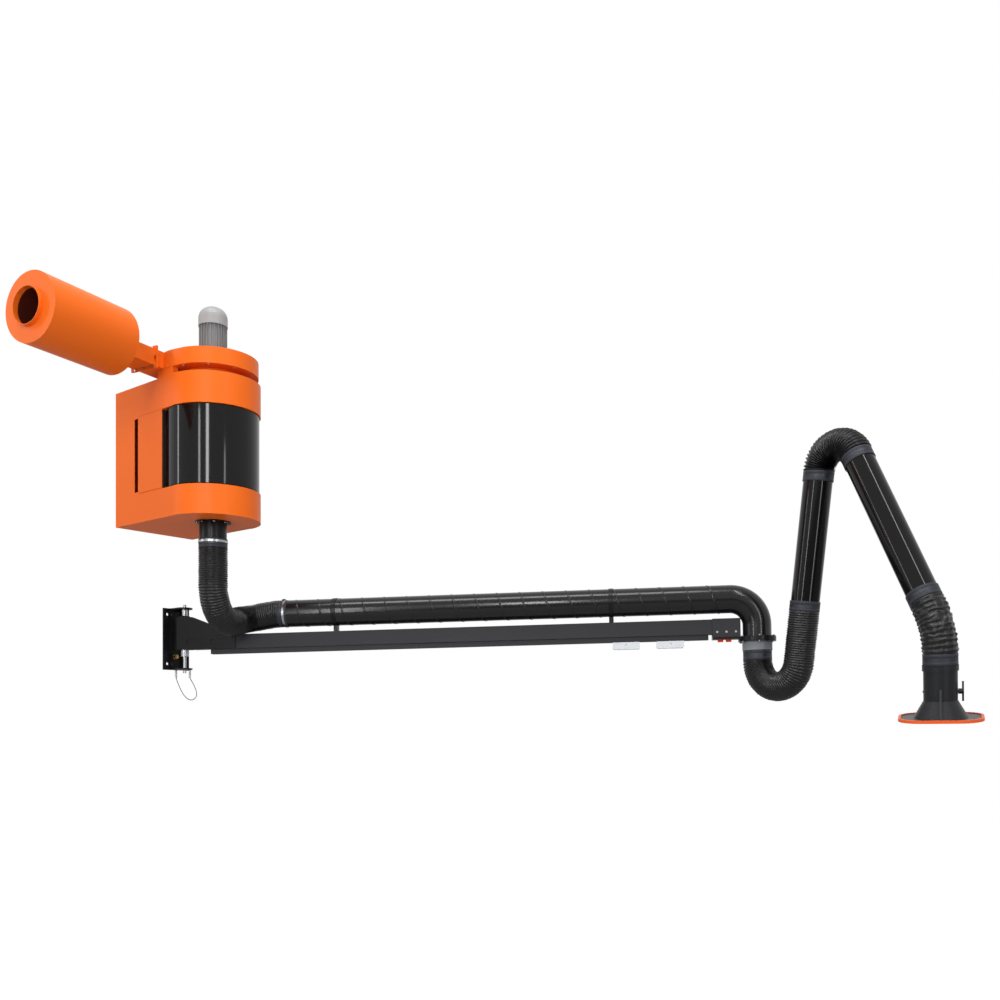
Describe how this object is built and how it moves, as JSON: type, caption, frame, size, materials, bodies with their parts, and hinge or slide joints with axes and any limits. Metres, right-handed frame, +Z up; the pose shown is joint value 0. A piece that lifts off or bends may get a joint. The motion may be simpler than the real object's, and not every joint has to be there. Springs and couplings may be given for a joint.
{
  "type": "wall mounted welding fume extractor",
  "caption": "Wall mounted welding fume extractor: orange filter unit with fan and silencer, swing boom with duct, and a jointed hose arm ending in a flanged hood.",
  "frame": {"origin": "centre of the boom bracket's wall bolt pattern, on the wall plane", "axes": "+X out of the wall, +Y along the wall, +Z up"},
  "size_m": [4.2594, 3.2007, 2.3592],
  "materials": {
    "orange_sheet": "satin powder coat",
    "black_drum": "gloss",
    "black_metal": "semi gloss",
    "dark_boom": "matt",
    "steel": "plain",
    "brass": "plain",
    "grey_motor": "satin",
    "hose_fabric": "matt",
    "rubber": "matt",
    "white_plastic": "matt",
    "red_rubber": "matt",
    "orange_plastic": "satin",
    "black_plastic": "matt",
    "grey_plastic": "matt",
    "paper": "matt"
  },
  "bodies": {
    "base": {"rear_housing": "orange_sheet", "lower_plenum": "orange_sheet", "upper_plenum": "orange_sheet", "side_panel_left": "orange_sheet", "side_panel_right": "orange_sheet", "filter_drum": "black_drum", "filter_media": "paper", "drum_seals": "rubber", "inlet_collar": "black_metal", "housing_screws": "steel", "fan_scroll": "orange_sheet", "motor_body": "grey_motor", "motor_cowl": "grey_motor", "outlet_duct": "orange_sheet", "silencer_shell": "orange_sheet", "silencer_core": "black_metal", "collar_clamp": "steel", "inlet_hose": "hose_fabric", "boom_bracket": "black_metal", "pivot_pin": "steel", "pivot_bushes": "steel", "brass_bolt": "brass", "wire_loop": "steel", "wire_ferrules": "steel"},
    "rotor": {"impeller": "steel", "motor_shaft": "steel", "cooling_fan": "black_plastic"},
    "boom": {"boom_root": "black_metal", "boom_beam": "dark_boom", "glider_rail": "dark_boom", "end_block": "black_metal", "boom_bolts": "steel", "rail_buffers": "red_rubber", "swivel_plate": "black_metal", "swivel_clamp_ring": "grey_plastic", "boom_duct": "black_metal", "duct_straps": "black_metal", "duct_elbow": "black_metal", "duct_clamp": "steel"},
    "first_glider": {"glider_1": "white_plastic"},
    "second_glider": {"glider_2": "white_plastic"},
    "arm_base": {"swivel_ring": "black_metal", "swivel_cuff": "grey_plastic", "shoulder_bracket": "black_metal", "shoulder_pin": "steel", "shoulder_hose": "hose_fabric"},
    "lower_arm": {"lower_tube": "black_drum", "lower_bar": "black_metal", "elbow_pin": "steel"},
    "upper_arm": {"upper_tube": "black_drum", "upper_bar": "black_metal", "elbow_hose": "hose_fabric", "wrist_pin": "steel"},
    "wrist": {"wrist_hose": "hose_fabric", "wrist_link": "black_metal", "hood_collar": "black_plastic"},
    "hood": {"hood_body": "black_plastic", "hood_rim": "orange_plastic"},
    "damper": {"damper_flap": "black_plastic", "damper_knob": "black_plastic"}
  },
  "joints": [
    {"name": "fan_spin", "type": "hinge", "parent": "base", "child": "rotor", "pos_m": [0.577, -0.14, 1.5], "axis": [0, 0, 1], "continuous": true},
    {"name": "boom_swing", "type": "hinge", "parent": "base", "child": "boom", "pos_m": [0.096, 0, 0], "axis": [0, 0, 1], "range_deg": [-92.2, 27.8], "deforming": ["inlet_hose"]},
    {"name": "glider_1_slide", "type": "slide", "parent": "boom", "child": "first_glider", "axis": [0.846, 0.5328, 0.0192], "range_m": [-2.2, 0.09]},
    {"name": "glider_2_slide", "type": "slide", "parent": "boom", "child": "second_glider", "axis": [0.846, 0.5328, 0.0192], "range_m": [-0.09, 0.13]},
    {"name": "arm_swivel", "type": "hinge", "parent": "boom", "child": "arm_base", "pos_m": [2.96745, 1.80825, 0.06516], "axis": [-0.0162, -0.0102, 0.9998], "range_deg": [-80, 180]},
    {"name": "shoulder_tilt", "type": "hinge", "parent": "arm_base", "child": "lower_arm", "pos_m": [3.11635, 1.76622, -0.30812], "axis": [0.3056, 0.9521, 0.0147], "range_deg": [-10, 50], "deforming": ["shoulder_hose"]},
    {"name": "elbow_bend", "type": "hinge", "parent": "lower_arm", "child": "upper_arm", "pos_m": [3.49288, 1.62615, 0.93631], "axis": [0.3056, 0.9521, 0.0147], "range_deg": [-100, 10], "deforming": ["elbow_hose"]},
    {"name": "wrist_tilt", "type": "hinge", "parent": "upper_arm", "child": "wrist", "pos_m": [4.02143, 1.47036, 0.03932], "axis": [0.4752, 0.8732, 0.1081], "range_deg": [-40, 40], "deforming": ["wrist_hose"]},
    {"name": "hood_turn", "type": "hinge", "parent": "wrist", "child": "hood", "pos_m": [4.06743, 1.47925, -0.23456], "axis": [0.0336, -0.1408, 0.9895], "continuous": true},
    {"name": "damper_turn", "type": "hinge", "parent": "hood", "child": "damper", "pos_m": [4.06315, 1.49717, -0.36052], "axis": [0.9587, 0.2843, 0.0079], "range_deg": [0, 90]}
  ]
}
